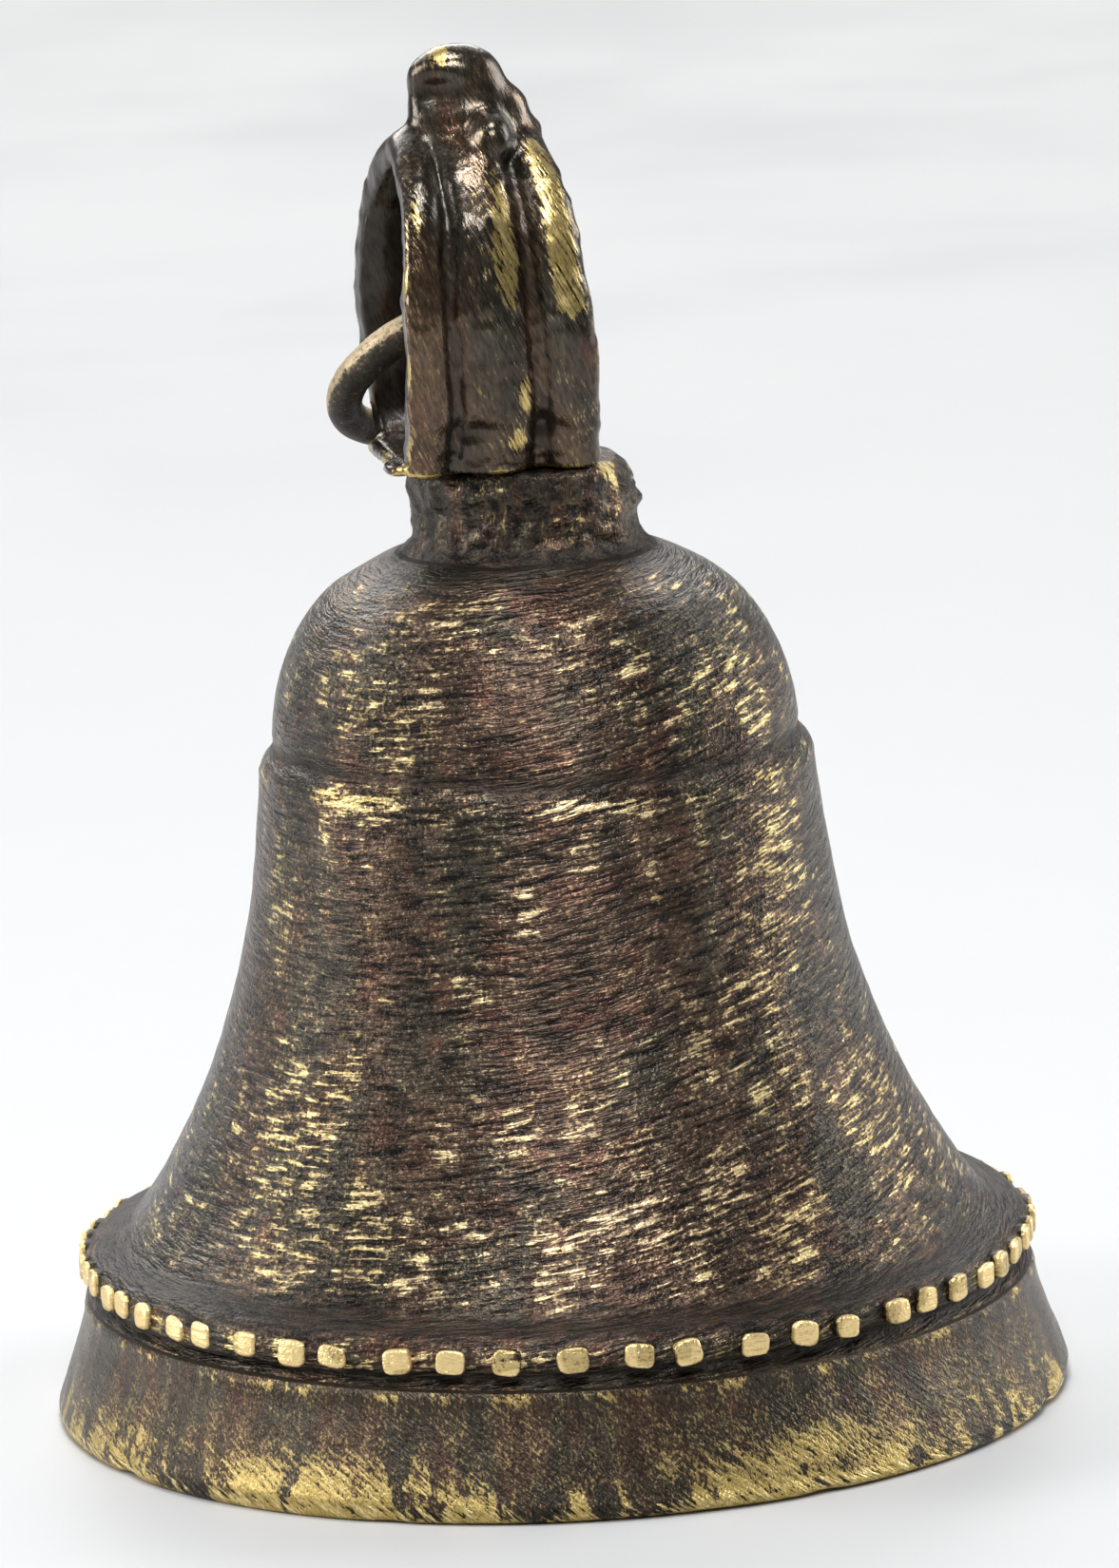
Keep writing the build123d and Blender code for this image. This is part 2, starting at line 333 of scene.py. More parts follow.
def old_brass(name, dark=(0.056, 0.045, 0.030), warm=(0.082, 0.051, 0.033), red=(0.100, 0.042, 0.028),
              gold=(0.56, 0.41, 0.125), pale=(0.90, 0.72, 0.34),
              bare=0.0, rust=1.0, gloss=0.31, along=0.55, across=3.8, relief=1.0, coat=0.18):
    """Dark patina over file marks, rubbed through to brass on the ridges of the marks.

    The mesh says where: flow is the space the marks are laid out in, the numbers for wear and for edges bare
    the brass, as wear and in places as painted highlight and painted light on upper sides, the number for
    grime hides it and darkens the patina, as dirt and as painted shade in creases, grooves and undersides,
    ruddy reddens it and calm evens the marks out. along and across are how close the marks are.
    """
    mat, nt, bsdf = new_material(name)
    flow = attribute(nt, "flow", "Vector")
    wear_and_highlight = attribute(nt, "wear_and_highlight")
    worn_edge_and_light = attribute(nt, "worn_edge_and_light")
    grime_and_shade = attribute(nt, "grime_and_shade")
    ruddy = attribute(nt, "ruddy")

    # the strokes wander a little
    wob = node(nt, "TexNoise", Scale=0.30, Detail=1.0)
    nt.links.new(flow, wob.inputs["Vector"])
    off = node(nt, "VectorMath", {"operation": "MULTIPLY_ADD"})
    nt.links.new(wob.outputs["Color"], off.inputs[0])
    off.inputs[1].default_value = (0.4, 0.4, 0.34)
    nt.links.new(flow, off.inputs[2])
    vec = off.outputs[0]

    marks = stretched(nt, vec, (along, along, across), 2.0, 0.60)
    fine = stretched(nt, vec, (along * 3.6, along * 3.6, across * 2.2), 2.0, 0.60)
    facet = stretched(nt, flow, (0.50, 0.50, 0.10), 2.0, 0.55)
    patch = stretched(nt, flow, (0.24, 0.24, 0.08), 2.0, 0.5)
    crumb = stretched(nt, flow, (0.95, 0.95, 1.3), 3.0, 0.65)
    speck = stretched(nt, flow, (4.2, 4.2, 4.6), 2.0, 0.65)
    grain = stretched(nt, flow, (9.5, 9.5, 10.0), 1.0, 0.5)

    # ridge is the height of the marks, lift is what helps or stops them from being rubbed bare
    calm = attribute(nt, "calm")
    ridge = calc(nt, "ADD", calc(nt, "MULTIPLY", marks, 0.78), calc(nt, "MULTIPLY", fine, 0.22))
    ridge = calc(nt, "SUBTRACT", ridge, calc(nt, "MULTIPLY", calc(nt, "SUBTRACT", ridge, 0.5), calm))
    lift = swing(nt, facet, 0.80)
    for noise, amount in ((patch, 0.34), (crumb, 0.42), (speck, 0.30)):
        lift = calc(nt, "ADD", lift, swing(nt, noise, amount))
    lift = add_part(nt, lift, wear_and_highlight, 0.175)
    most = calc(nt, "ADD", calc(nt, "MULTIPLY", speck, 0.30), -0.035)
    most = calc(nt, "ADD", most, span(nt, wear_and_highlight, 1.2, 2.6, 0.0, 0.20))
    lift = calc(nt, "MINIMUM", lift, most)
    lift = add_part(nt, lift, worn_edge_and_light, 0.30)
    lift = calc(nt, "SUBTRACT", lift, calc(nt, "MULTIPLY", grime_and_shade, 0.40))
    level = calc(nt, "ADD", ridge, calc(nt, "ADD", lift, bare))
    rubbed = span(nt, level, 0.64, 0.71)
    dots = calc(nt, "ADD", speck, swing(nt, level, 0.55))
    rubbed = calc(nt, "MAXIMUM", rubbed, span(nt, dots, 0.645, 0.70, 0.0, 0.85))

    # the patina, from dark to warm to red, then the brass under it
    toned = add_part(nt, patch, ruddy, 0.16)
    tone = blend_colour(nt, span(nt, toned, 0.45, 0.63), dark, warm)
    blush = add_part(nt, stretched(nt, flow, (0.42, 0.42, 0.42), 3.0, 0.6), ruddy, 0.05)
    tone = blend_colour(nt, span(nt, blush, 0.52, 0.74, 0.0, 0.7), tone, red)
    # the patina is darker in the marks' hollows, partly patina held there and partly painted shade, and
    # lighter on their ridges as painted highlight
    shade = calc(nt, "MULTIPLY", span(nt, ridge, 0.34, 0.64, 0.12, 1.9),
                 span(nt, speck, 0.3, 0.7, 0.55, 1.45))
    shade = calc(nt, "MULTIPLY", shade, span(nt, facet, 0.36, 0.62, 0.72, 1.15))
    n = node(nt, "VectorMath", {"operation": "SCALE"})
    nt.links.new(tone, n.inputs[0])
    nt.links.new(shade, n.inputs["Scale"])
    tone = n.outputs[0]
    # dirt and painted shade: the patina goes near-black in dirty places and in the creases, grooves and
    # undersides marked for shade
    tone = blend_colour(nt, calc(nt, "MULTIPLY", grime_and_shade, 0.8), tone, DIRT_AND_SHADE)
    spots = calc(nt, "MULTIPLY", span(nt, crumb, 0.66, 0.74), 0.55 * rust)
    tone = blend_colour(nt, spots, tone, RUST)
    metal = blend_colour(nt, span(nt, ridge, 0.46, 0.64), gold, pale)
    metal = blend_colour(nt, calc(nt, "MULTIPLY", ruddy, 0.8, clamp=True), metal, ROSY_BRASS)
    metal = blend_colour(nt, span(nt, speck, 0.50, 0.66, 0.0, 0.65), metal, TARNISH)
    metal = blend_colour(nt, span(nt, worn_edge_and_light, 1.15, 1.45), metal, BURNISHED)
    colour = blend_colour(nt, rubbed, tone, metal)
    nt.links.new(colour, bsdf.inputs["Base Color"])
    nt.links.new(span(nt, rubbed, 0.0, 1.0, 0.82, 0.95), bsdf.inputs["Metallic"])
    shine = calc(nt, "ADD", calc(nt, "MULTIPLY", speck, 0.30), gloss - 0.15)
    shine = add_part(nt, shine, rubbed, 0.10)
    shine = calc(nt, "ADD", shine, calc(nt, "MULTIPLY", grime_and_shade, 0.28), clamp=True)
    nt.links.new(shine, bsdf.inputs["Roughness"])
    high = add_part(nt, add_part(nt, ridge, speck, 0.22), grain, 0.06)
    b1 = node(nt, "Bump", Strength=1.0, Distance=MARK_DEPTH * relief)
    nt.links.new(high, b1.inputs["Height"])
    nt.links.new(b1.outputs[0], bsdf.inputs["Normal"])
    nt.links.new(b1.outputs[0], bsdf.inputs["Coat Normal"])
    bsdf.inputs["Coat Weight"].default_value = coat
    bsdf.inputs["Coat Roughness"].default_value = 0.2
    return mat


SCALE_DARK = (0.035, 0.030, 0.028)
SCALE_GREY = (0.075, 0.066, 0.060)
IRON_RUST = (0.16, 0.06, 0.028)
BARE_IRON = (0.30, 0.28, 0.26)


def dark_iron(name):
    """Forged iron: scale, hammer flats and rust in the low places."""
    mat, nt, bsdf = new_material(name)
    at = node(nt, "TexCoord").outputs["Object"]
    scale = stretched(nt, at, (900, 900, 900), 4.0, 0.6)
    broad = stretched(nt, at, (260, 260, 260), 3.0, 0.55)
    grain = stretched(nt, at, (2600, 2600, 2600), 2.0, 0.6)
    worn_edge_and_light = attribute(nt, "worn_edge_and_light")
    tone = blend_colour(nt, span(nt, scale, 0.4, 0.62), SCALE_DARK, SCALE_GREY)
    tone = blend_colour(nt, calc(nt, "MULTIPLY", span(nt, broad, 0.46, 0.62), 0.5), tone, IRON_RUST)
    tone = blend_colour(nt, calc(nt, "MULTIPLY", worn_edge_and_light, 0.6), tone, BARE_IRON)
    nt.links.new(tone, bsdf.inputs["Base Color"])
    nt.links.new(span(nt, broad, 0.4, 0.65, 0.85, 0.25), bsdf.inputs["Metallic"])
    nt.links.new(span(nt, scale, 0.3, 0.7, 0.38, 0.75), bsdf.inputs["Roughness"])
    high = add_part(nt, scale, grain, 0.4)
    b1 = node(nt, "Bump", Strength=1.0, Distance=IRON_DEPTH)
    nt.links.new(high, b1.inputs["Height"])
    nt.links.new(b1.outputs[0], bsdf.inputs["Normal"])
    return mat


# ---------------------------------------------------------------- the cup

COLS = 340
# the parts of the profile, in the order they are joined
CEILING, INSIDE, LIP, BAND, BULGE, SKIRT, STEP, DOME, NECK, CAP = range(10)

inner = smooth_line([(5.2, 41.2), (9.4, 39.2), (11.4, 35.2), (11.8, 30.0), (13.2, 24.0), (16.2, 17.0),
                     (19.9, 10.2), (22.8, 3.4), (24.0, 0.35)], 44)
ceiling = smooth_line([(1.6, 41.2), (5.0, 41.2)], 5)
lip = smooth_line([(24.1, 0.12), (24.5, 0.0), (25.0, 0.0), (25.5, 0.03), (25.86, 0.25), (25.95, 0.7)], 10)
band = smooth_line([(25.93, 0.95), (25.6, 1.9), (25.0, 3.6), (24.55, 5.0), (24.42, 5.7), (24.38, 6.1),
                    (24.12, 6.5), (23.72, 6.85)], 34)
bulge = smooth_line([(23.70, 7.0), (24.02, 7.3), (24.25, 7.9), (24.15, 8.5), (23.7, 9.0), (23.0, 9.22),
                     (22.35, 9.42)], 18)
skirt = smooth_line([(22.0, 9.6), (20.7, 11.3), (19.5, 13.3), (18.25, 15.9), (17.1, 18.6), (16.15, 21.2),
                     (15.42, 23.9), (14.92, 26.5), (14.55, 29.2), (14.25, 31.9), (14.08, 33.2)], 78)
step = smooth_line([(14.02, 33.55), (13.86, 33.85), (13.62, 34.1), (13.5, 34.4)], 7)
dome = smooth_line([(13.45, 34.7), (13.2, 36.6), (12.65, 38.4), (11.8, 40.2), (10.4, 42.0), (8.3, 43.4),
                    (6.7, 44.15), (5.95, 44.75)], 42)
neck = smooth_line([(5.8, 45.1), (5.75, 46.5), (5.78, 48.0), (5.66, 48.7)], 15)
cap = smooth_line([(5.35, 48.88), (3.5, 48.9), (1.6, 48.9)], 8)
sections = (ceiling, inner, lip, band, bulge, skirt, step, dome, neck, cap)
profile = np.vstack(sections)
part_of = np.concatenate([[k] * len(p) for k, p in enumerate(sections)])
rows = len(profile)

th = np.linspace(0, 2 * PI, COLS, endpoint=False)
R = np.repeat(profile[:, 0][:, None], COLS, axis=1)
Z = np.repeat(profile[:, 1][:, None], COLS, axis=1)
T = np.repeat(th[None, :], rows, axis=0)
K = np.repeat(part_of[:, None], COLS, axis=1)
run = np.r_[0, np.cumsum(np.linalg.norm(np.diff(profile, axis=0), axis=1))]
S = np.repeat(run[:, None], COLS, axis=1)

tangent = np.gradient(profile, axis=0)
tangent /= np.linalg.norm(tangent, axis=1)[:, None]
NR = np.repeat(tangent[:, 1][:, None], COLS, axis=1)
NZ = np.repeat(-tangent[:, 0][:, None], COLS, axis=1)

# for each point: radius, height, angle, part, distance along the profile and the way out
R, Z, T, K, S, NR, NZ = [a.ravel() for a in (R, Z, T, K, S, NR, NZ)]
phi = wrap(T - FRONT)               # 0 faces the camera, positive to its right
P = np.stack([R * np.cos(T), R * np.sin(T), Z], axis=1)
outer = (K >= BAND) & (K <= NECK)
turned_out = outer | (K == LIP)

# hand-made unevenness: out of round, broad dents, upright file flats, coarse strokes
lift = 0.10 * np.sin(2 * T + 0.7) + 0.06 * np.sin(3 * T + 2.1)
lift *= R / 26
lift += 0.10 * field(P, 7.0, 1) + 0.045 * field(P, 2.6, 2)
lift += 0.085 * field(P, (3.4, 3.4, 16.0), 3) * ease(Z, 9, 12)
lift += 0.030 * field(P, (2.0, 2.0, 0.55), 4) * ease(Z, 9, 11)
lift += 0.040 * field(P, (1.3, 1.3, 1.0), 5) * (K == BAND)
rough_neck = ease(Z, 43.6, 45.2) * (K >= DOME)
lift += rough_neck * (0.22 * field(P, 2.0, 6) + 0.20 * field(P, 0.95, 7) + 0.11 * field(P, 0.5, 8))
lift -= 0.25 * rough_neck * bell(Z, 46.9, 1.0) * bell(phi, -0.1, 0.5)
lift = np.where(K == LIP, 0.35 * lift, lift)
lift = np.where(K <= INSIDE, 0.10 * field(P, 4.0, 9) + 0.03 * field(P, 1.4, 10), lift)
lift = np.where(K == CAP, 0.05 * field(P, 1.2, 11), lift)
# a few old knocks in the lip
for where, deep in ((-1.02, 0.22), (-0.35, 0.12), (0.52, 0.15), (1.25, 0.2), (2.3, 0.25), (-2.4, 0.2)):
    lift -= deep * bell(phi, where, 0.035) * bell(Z, 0.5, 0.9) * (K >= LIP) * (K <= BAND)
R2 = R + NR * lift
Z2 = Z + NZ * lift
# the step wanders, and stands prouder in places
near_step = bell(Z, 33.9, 2.2) * ((K >= SKIRT) & (K <= DOME))
Z2 += near_step * (0.22 * np.sin(T * 2 + 0.4) + 0.16 * field(P, (4.0, 4.0, 50.0), 12))
R2 += 0.10 * bell(Z, 33.4, 0.5) * (K == SKIRT) * (0.5 + field(P, (3.0, 3.0, 50.0), 13))
R2 -= 0.12 * bell(Z, 34.5, 0.3) * ((K == STEP) | (K == DOME))
# the neck's edge is worn round where the loop's foot leaves it bare
bare_side = ease(np.cos(T), 0.45, 0.85) * (K >= NECK) * ease(Z, 46.5, 48.7)
Z2 -= bare_side * (0.15 + 0.75 * ease(R, 4.6, 5.8))
R2 -= 0.10 * bare_side
Z2 = np.maximum(Z2, 0.0)
cup = np.stack([R2 * np.cos(T), R2 * np.sin(T), Z2], axis=1)

# file strokes run round the cup and climb to the right of the front; on the rim they slant down
climb = R * 0.20 * np.sin(phi - 0.70)
slant = -R * 0.85 * np.sin(phi)
on_rim = (Z < 6.4) & (K >= LIP)
flow = np.stack([P[:, 0], P[:, 1], S - np.where(on_rim, slant, climb)], axis=1)
flow[:, 0] += np.where(K <= INSIDE, 60, 0)
flow[:, :2] *= np.where(on_rim, 1.7, 1.0)[:, None]

wear_and_highlight = 0.10 * field(P, 5.0, 20)
# patches: degrees right of the front, height, half width in degrees, half height, strength;
# a strength below 0 keeps the patina
RUBBED_AND_HIGHLIT = [
    (56, 29.0, 11, 4.6, 1.05), (-46, 17.0, 9, 5.5, 1.08), (-38, 37.6, 18, 2.6, 0.70),
    (20, 36.8, 13, 3.4, 0.62), (-41, 33.2, 13, 0.7, 1.5), (16, 14.6, 15, 2.8, 0.70),
    (68, 16.2, 9, 4.0, 0.65), (-6, 30.0, 9, 3.0, 0.25), (52, 38.5, 12, 2.6, 0.62),
    (30, 2.8, 15, 2.4, 1.75), (-27, 1.8, 17, 2.2, 0.95), (62, 2.4, 13, 2.0, 0.80),
    (-62, 2.6, 14, 1.9, 0.85),
    (-70, 12.5, 8, 3.5, 0.55), (-28, 12.0, 10, 2.5, 0.55), (35, 22.0, 9, 3.0, 0.45),
    # (0, 12.3) on the lower skirt's front and (-10, 41.0) on the shoulder bare the brass as painted
    # highlight
    (-62, 28.0, 8, 4.0, 0.62), (8, 33.3, 26, 0.45, 0.85), (0, 12.3, 38, 2.2, 0.50),
    (-10, 41.0, 20, 1.5, 0.50),
    (-27, 27.0, 8, 6.5, -0.75), (32, 27.0, 7, 5.0, -0.60), (-22, 17.0, 7, 4.5, -0.50),
    (-72, 24.0, 13, 9.0, -0.40), (2, 38.0, 15, 2.8, -1.00), (3, 24.0, 9, 5.5, -0.60),
]
for right, z0, wide, tall, strength in RUBBED_AND_HIGHLIT:
    d = wrap(phi - math.radians(right)) / math.radians(wide)
    wear_and_highlight += strength * np.exp(-d * d - ((Z - z0) / tall) ** 2) * turned_out
behind = ease(np.abs(phi), 1.35, 1.9)
wear_and_highlight += behind * turned_out * 0.9 * np.clip(field(P, (6.0, 6.0, 8.0), 21) + 0.05, 0, 1)

worn_edge_and_light = 1.05 * bell(Z, 0.0, 0.80) * (K >= LIP) * (K <= BAND) + 0.28 * bell(Z, 1.6, 1.4) * (K == BAND)
worn_edge_and_light *= 0.75 + 0.55 * field(P, (2.4, 2.4, 4.0), 22)
# the band's second ridge is bared to brass, partly wear and partly painted highlight
worn_edge_and_light += 0.30 * bell(Z, 6.05, 0.3) * (K == BAND)
worn_edge_and_light += 0.25 * bell(Z, 7.9, 0.4) * (K == BULGE)
neck_edge = 0.95 * bell(Z, 48.6, 0.7) * (K >= NECK)
worn_edge_and_light += neck_edge * (0.25 + 0.9 * ease(phi, 0.2, 0.9)) * (0.5 + 0.7 * field(P, 1.1, 23))
# painted shade: the grooves above and below the bead ring, the crease under the neck and the step's crease
# are darkened; the rough neck gets dirt; inside, the cup darkens from the mouth upwards
grime_and_shade = 0.9 * bell(Z, 6.9, 0.35) * ((K == BAND) | (K == BULGE))
grime_and_shade += 0.85 * bell(Z, 9.2, 0.5) * ((K == BULGE) | (K == SKIRT))
grime_and_shade += rough_neck * (0.25 + 0.35 * field(P, 1.5, 24)) + 0.7 * bell(Z, 44.3, 0.7) * (K >= DOME)
grime_and_shade += 0.45 * (K <= INSIDE) * ease(Z, 2.0, 12.0)
grime_and_shade += 0.9 * bell(Z, 34.5, 0.28) * ((K == STEP) | (K == DOME))
# the step's top edge is bared to brass, partly wear and partly painted highlight where its rounded edge
# catches light
step_edge_wear_and_highlight = 0.55 * bell(Z, 33.45, 0.22) * ((K == SKIRT) | (K == STEP))
worn_edge_and_light += step_edge_wear_and_highlight * (0.7 + 0.6 * field(P, (3.0, 3.0, 50.0), 26))
ruddy = bell(phi, 0.08, 0.62) * turned_out * ease(Z, 6.5, 10.0) * (0.8 + 0.5 * field(P, 5.0, 25))
calm = 0.72 * on_rim * (K >= BAND) + 0.25 * ease(-phi, 0.5, 1.0) * (Z > 20) * turned_out
on_neck = (K >= NECK) | ((K == DOME) & (Z > 44.2))
ruddy *= ~on_neck
flow[:, 2] = np.where(on_neck, Z * 0.45, flow[:, 2])
flow[:, :2] = np.where(on_neck[:, None], P[:, :2] * 2.0, flow[:, :2])
cup_attrs = {"calm": calm, "flow": flow, "wear_and_highlight": wear_and_highlight, "worn_edge_and_light": worn_edge_and_light, "grime_and_shade": np.clip(grime_and_shade, 0, 1),
             "ruddy": ruddy}
pieces = [(cup, grid_faces(rows, COLS, close_rows=True), cup_attrs)]

# beads cast on the ring, each a little different, their faces rubbed flat
rng = np.random.default_rng(7)
BEAD_COUNT = 58
BEAD_START = math.radians(-100.7)
BEAD_SPREAD = math.radians(4.5)      # the spacing opens out at the front and the back
BEAD_JITTER = math.radians(0.8)
BEAD_RING_R, BEAD_RING_Z, BEAD_RING_RISE = 24.06, 7.86, 0.26
BEAD_DEEP, BEAD_WIDE, BEAD_TALL = 0.72, 0.74, 0.63     # half sizes
BEAD_SQUARE = 0.56
for i in range(BEAD_COUNT):
    around = i * 2 * PI / BEAD_COUNT
    at = BEAD_START + around + BEAD_SPREAD * math.sin(2 * around) + BEAD_JITTER * math.sin(2.3 * i)
    bead_z = BEAD_RING_Z + BEAD_RING_RISE * math.sin(around) ** 2 + rng.uniform(-0.10, 0.10)
    wide = BEAD_WIDE * rng.uniform(0.90, 1.08)
    tall = BEAD_TALL * rng.uniform(0.92, 1.08)
    v, f = ellipsoid((0, 0, 0), (BEAD_DEEP, wide, tall), BEAD_SQUARE, 13, 20)
    flat = 0.42 + rng.uniform(-0.06, 0.06)
    v[:, 0] = np.where(v[:, 0] > flat, flat + 0.25 * (v[:, 0] - flat), v[:, 0])
    v[:, 2] += 0.10 * rng.uniform(-1, 1) * v[:, 1]
    v = turn(v, "X", rng.uniform(-0.16, 0.16))
    v += 0.05 * field(v + i * 9.0, 0.8, 30)[:, None]
    face = ease(v[:, 0], 0.10, 0.34)
    v[:, 0] += BEAD_RING_R + rng.uniform(-0.04, 0.04)
    v[:, 2] += bead_z
    v = turn(v, "Z", at)
    worn = face * np.clip(1.15 + 0.9 * field(v + i * 9.0, 0.9, 31), 0, 1.6)
    # painted shadow between the beads: their sides darken while their rubbed faces bare the brass
    a = {"flow": v + 11.0 * i, "wear_and_highlight": 1.2 * worn, "worn_edge_and_light": 1.3 * worn, "grime_and_shade": 0.9 * (1 - face),
         "ruddy": 0.30 * face, "calm": np.full(len(v), 0.7)}
    pieces.append((v, f, a))
verts, faces, attrs = join_arrays(pieces)
cup_ob = make("cup", verts, faces, attrs)
cup_ob.data.materials.append(old_brass("cup_patina"))
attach(cup_ob, "bell")
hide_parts("bell_body")


# ---------------------------------------------------------------- the crown loop

def remeshed(name, parts, voxel, rounds):
    """Closed parts in millimetres fused into one skin, still in millimetres."""
    v, f, _ = join_arrays([(p[0], p[1], {}) for p in parts])
    ob = make(name, v, f, scale=1.0)
    m = ob.modifiers.new("fuse", "REMESH")
    m.mode = "VOXEL"
    m.voxel_size = voxel
    m.use_smooth_shade = True
    soft = ob.modifiers.new("soften", "SMOOTH")
    soft.factor = 0.5
    soft.iterations = rounds
    dg = bpy.context.evaluated_depsgraph_get()
    me = bpy.data.meshes.new_from_object(ob.evaluated_get(dg))
    bpy.data.objects.remove(ob, do_unlink=True)
    return me


def relax(v, quads, amount, rounds):
    """Evens the surface out where amount is above 0."""
    a, b = quads.ravel(), np.roll(quads, -1, axis=1).ravel()
    count = np.bincount(a, minlength=len(v)) + np.bincount(b, minlength=len(v))
    for _ in range(rounds):
        mean = np.stack([np.bincount(a, v[b, k], len(v)) + np.bincount(b, v[a, k], len(v))
                         for k in range(3)], 1)
        v = v + amount[:, None] * (mean / count[:, None] - v)
    return v


def half_width(y, z):
    """Half the strap's width; the far leg is a little narrower than the near one."""
    heights = [FOOT_Z, 53.0, 57.5, 62.8, ARCH_TOP]
    near = np.interp(z, heights, [5.0, 4.9, 4.8, 4.3, 3.9])
    far = np.interp(z, heights, [4.5, 4.7, 4.8, 4.25, 3.9])
    return np.where(y < 0, near, far)


def loop_centre(z):
    """Where the strap's middle is along X; it leans a little with height."""
    return LOOP_X - 0.32 * ease(z, 51, 59)


half = [(-y, z) for y, z in ARCH]
path = smooth_line(half + [(0, ARCH_TOP)] + [(-y, z) for y, z in reversed(half)], 170)
tan = np.gradient(path, axis=0)
tan /= np.linalg.norm(tan, axis=1)[:, None]
nor = np.stack([-tan[:, 1], tan[:, 0]], axis=1)      # outward, away from the hole


def rib_height(w, y, z):
    """How far the strap's outer face stands off its mean, across the strap from -1 to 1."""
    h = np.full_like(w, -0.42)
    for mid, wide, tall in ((-0.79, 0.22, 0.64), (-0.08, 0.37, 0.78), (0.72, 0.27, 0.76)):
        h = np.maximum(h, -0.42 + tall * np.sqrt(np.clip(1 - ((w - mid) / wide) ** 2, 0, 1)))
    h -= 0.12 * bell(w, -0.22, 0.10) * ease(z, 53, 58)
    near = ease(-y, 1.0, 3.0)
    h -= near * bell(z, 51.2, 0.5) * (0.42 * bell(w, -0.36, 0.22) + 0.45 * bell(w, 0.40, 0.16))
    return h


W_OUT = np.linspace(-1, 1, 61)
W_IN = np.linspace(1, -1, 25)
ring_pts = []
for k in range(len(path)):
    y, z = path[k]
    hw = float(half_width(np.array(y), np.array(z)))
    cx = float(loop_centre(np.array(z)))
    ho = rib_height(W_OUT, y, z)
    hi = STRAP + 0.12 - 0.35 * ease(np.abs(W_IN), 0.7, 1.0)
    droop = 0.75 * float(ease(np.array(z), 61.5, 66.0))
    yo, zo = y + nor[k, 0] * ho, z + nor[k, 1] * ho - droop * W_OUT ** 2
    yi, zi = y - nor[k, 0] * hi, z - nor[k, 1] * hi - 0.5 * droop * W_IN ** 2
    ring_pts.append(np.vstack([
        np.stack([cx + W_OUT * hw, yo, zo], 1),
        np.stack([cx + W_IN * (hw - 0.12), yi, zi], 1)]))
n_ring = len(ring_pts[0])
strap_v = np.vstack(ring_pts)
strap_f = grid_faces(len(path), n_ring).tolist()
strap_f.append(list(range(n_ring))[::-1])
strap_f.append(list(range((len(path) - 1) * n_ring, len(path) * n_ring)))


def slab(cx, cy, hx, hy, z0, z1, power):
    """A plate with rounded corners and softened edges."""
    cols = 72
    a = np.linspace(0, 2 * PI, cols, endpoint=False)
    ex = np.sign(np.cos(a)) * np.abs(np.cos(a)) ** power
    ey = np.sign(np.sin(a)) * np.abs(np.sin(a)) ** power
    layers = [(0.02, z0), (0.9, z0), (0.985, z0 + 0.06), (1.0, z0 + 0.22),
              (0.985, z1 - 0.3), (0.93, z1 - 0.06), (0.8, z1), (0.02, z1)]
    v = np.vstack([np.stack([cx + hx * s * ex, cy + hy * s * ey, np.full(cols, z)], 1) for s, z in layers])
    f = grid_faces(len(layers), cols).tolist()
    f.append(list(range(cols))[::-1])
    f.append(list(range((len(layers) - 1) * cols, len(layers) * cols)))
    return v, f


knob = [
    ellipsoid((-2.65, 0.0, 68.2), (2.6, 1.85, 1.85)),
    ellipsoid((-2.5, -0.1, 66.9), (2.75, 2.0, 2.0)),
    ellipsoid((-1.7, -0.6, 67.0), (1.5, 1.5, 2.0)),
    ellipsoid((-0.8, -0.2, 66.5), (1.9, 1.6, 1.7)),
    ellipsoid((-0.35, -0.2, 65.7), (1.55, 1.8, 1.25)),
    ellipsoid((-2.0, 0.0, 65.5), (3.8, 2.3, 1.2)),
    ellipsoid((-1.5, -2.3, 65.4), (1.2, 1.9, 1.5)),
]
lip_left = ellipsoid((-7.15, -3.4, 49.3), (0.75, 1.4, 0.36), 0.8)
foot = slab(LOOP_X, 0, 5.4, 4.85, FOOT_Z, FOOT_Z + FOOT_T, 0.30)
loop_me = remeshed("loop_raw", [(strap_v, strap_f), foot, lip_left] + knob, 0.15, 5)
loop_faces = [list(p.vertices) for p in loop_me.polygons]
v, n = points_of(loop_me)
v = relax(v, np.array(loop_faces), 0.65 * ease(v[:, 2], 63.6, 65.8), 28)

# the scoop under the knob's cap, then the casting's own lumps and pits
v -= n * (0.80 * spot(v, (-4.1, -1.6, 67.75), (1.5, 1.3, 0.95)))[:, None]
v -= n * (0.12 * spot(v, (-4.7, -1.6, 66.0), (1.1, 1.2, 0.5)))[:, None]
bumps = 0.10 * field(v, 2.3, 40) + 0.06 * field(v, 1.0, 41) + 0.035 * field(v, 0.5, 42)
bumps *= 1 - 0.55 * ease(v[:, 2], 63.0, 65.5)
edge_rough = ease(np.abs(v[:, 0] - loop_centre(v[:, 2])) / half_width(v[:, 1], v[:, 2]), 0.85, 1.0)
bumps += edge_rough * 0.06 * field(v, (2.0, 1.2, 0.7), 43)
bumps = np.where(v[:, 2] < FOOT_Z + 0.25, 0.3 * bumps, bumps)
v += n * bumps[:, None]
v[:, 2] = np.maximum(v[:, 2], FOOT_Z)

w = (v[:, 0] - loop_centre(v[:, 2])) / half_width(v[:, 1], v[:, 2])
